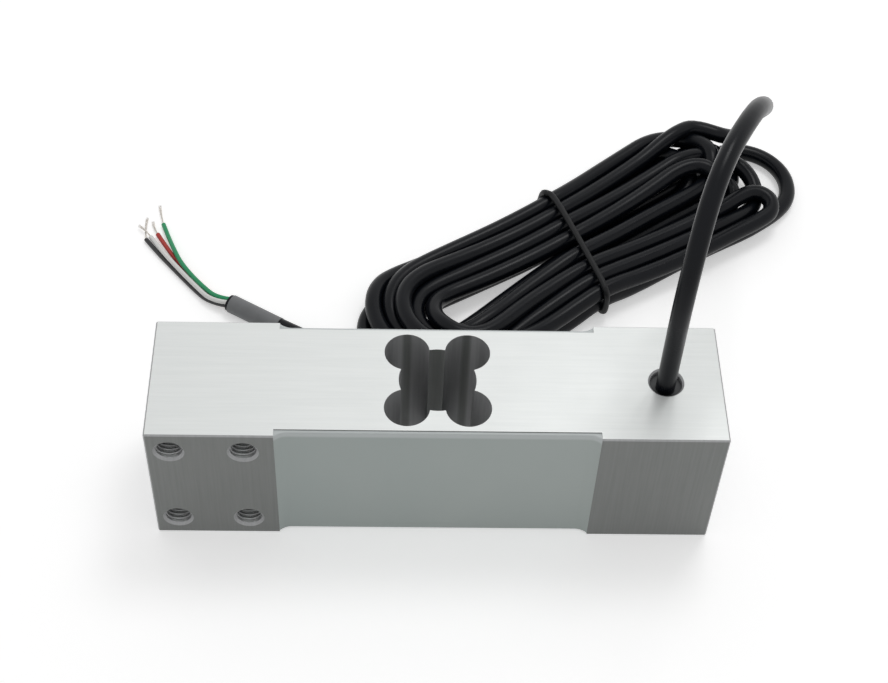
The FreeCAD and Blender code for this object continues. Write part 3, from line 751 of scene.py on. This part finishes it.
# ---- cores -------------------------------------------------------------------------------------
for colour, route in CORES.items():
    core = nurbs("core_wire_" + colour, route, CORE_R, insulation[colour])
    tip = strand_bundle("strands_" + colour, TIPS[colour], strand)
    for piece, node, slot in ((core, "core_", "core_" + colour),
                              (tip, "bare_tip_", "tinned_copper")):
        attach(piece, "root")
        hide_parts(node + colour)
    length = measured_length(route)


# ---- floor, light and camera -------------------------------------------------------------------
def seen_directly(tree):
    """1 where the camera sees the surface itself, in a mirror or through glass, and 0 for light."""
    path = tree.nodes.new("ShaderNodeLightPath")
    seen = path.outputs["Is Camera Ray"]
    for ray in ("Is Glossy Ray", "Is Transmission Ray"):
        either = tree.nodes.new("ShaderNodeMath")
        either.operation = "MAXIMUM"
        join(tree, either.inputs[0], seen)
        join(tree, either.inputs[1], path.outputs[ray])
        seen = either.outputs[0]
    return seen


def floor():
    """Plain pale floor, white to the eye but for the object's shadow."""
    h = FLOOR_HALF
    m = Maker("floor")
    m.colour((0.95, 0.95, 0.95))
    m.feed("Roughness", 0.9)
    m.feed("Emission Color", (1.0, 1.0, 1.0))
    m.feed("Emission Strength", m.math("MULTIPLY", seen_directly(m.tree), FLOOR_GLOW))
    obj = mesh_object("floor", [(-h, -h, 0), (h, -h, 0), (h, h, 0), (-h, h, 0)],
                      [(0, 1, 2, 3)], m.mat)


def world():
    """Soft studio: bright from behind, dimmer from the camera's side, and white to the eye."""
    studio = bpy.data.worlds.new("studio")
    bpy.context.scene.world = studio
    studio.use_nodes = True
    tree = studio.node_tree
    tree.nodes.clear()
    coords = tree.nodes.new("ShaderNodeTexCoord")
    direction = tree.nodes.new("ShaderNodeSeparateXYZ")
    strength = tree.nodes.new("ShaderNodeMapRange")
    lit = tree.nodes.new("ShaderNodeBackground")
    seen = tree.nodes.new("ShaderNodeBackground")
    mix = tree.nodes.new("ShaderNodeMixShader")
    out = tree.nodes.new("ShaderNodeOutputWorld")
    join(tree, direction.inputs[0], coords.outputs["Generated"])
    join(tree, strength.inputs["Value"], direction.outputs["Y"])
    join(tree, strength.inputs["From Min"], WORLD_FRONT_Y)
    join(tree, strength.inputs["From Max"], WORLD_BACK_Y)
    join(tree, strength.inputs["To Min"], WORLD_FRONT)
    join(tree, strength.inputs["To Max"], WORLD_BACK)
    join(tree, lit.inputs["Strength"], strength.outputs["Result"])
    for background in (lit, seen):
        join(tree, background.inputs["Color"], (1, 1, 1))
    join(tree, mix.inputs["Fac"], seen_directly(tree))
    join(tree, mix.inputs[1], lit.outputs[0])
    join(tree, mix.inputs[2], seen.outputs[0])
    join(tree, out.inputs["Surface"], mix.outputs[0])


def lamp():
    """One soft lamp above and behind, which draws the highlights along the cable."""
    data = bpy.data.lights.new("overhead", "AREA")
    data.size = LAMP_SIZE
    data.energy = LAMP_POWER
    obj = bpy.data.objects.new("overhead", data)
    bpy.context.scene.collection.objects.link(obj)
    obj.location = LAMP_PLACE
    shining = Vector(LAMP_AIM) - Vector(LAMP_PLACE)
    obj.rotation_euler = shining.to_track_quat("-Z", "Y").to_euler()


def camera():
    """At the angle, distance and lens that the photograph's edges and hole centres give."""
    cos_a, sin_a = math.cos(CAM_AZIMUTH), math.sin(CAM_AZIMUTH)
    cos_e, sin_e = math.cos(CAM_ELEVATION), math.sin(CAM_ELEVATION)
    back = Vector((sin_a * cos_e, -cos_a * cos_e, sin_e))
    right = Vector((cos_a, sin_a, 0))
    up = back.cross(right)
    turned_right = math.cos(CAM_ROLL) * right + math.sin(CAM_ROLL) * up
    turned_up = -math.sin(CAM_ROLL) * right + math.cos(CAM_ROLL) * up
    data = bpy.data.cameras.new("camera")
    data.lens = CAM_LENS
    data.sensor_width = CAM_SENSOR
    data.clip_start = CAM_NEAR
    obj = bpy.data.objects.new("camera", data)
    bpy.context.scene.collection.objects.link(obj)
    rotation = Matrix((turned_right, turned_up, back)).transposed().to_4x4()
    obj.matrix_world = Matrix.Translation(CAM_TARGET + back * CAM_DISTANCE) @ rotation
    bpy.context.scene.camera = obj


floor()
world()
lamp()
camera()
bpy.context.scene.view_settings.view_transform = "Standard"
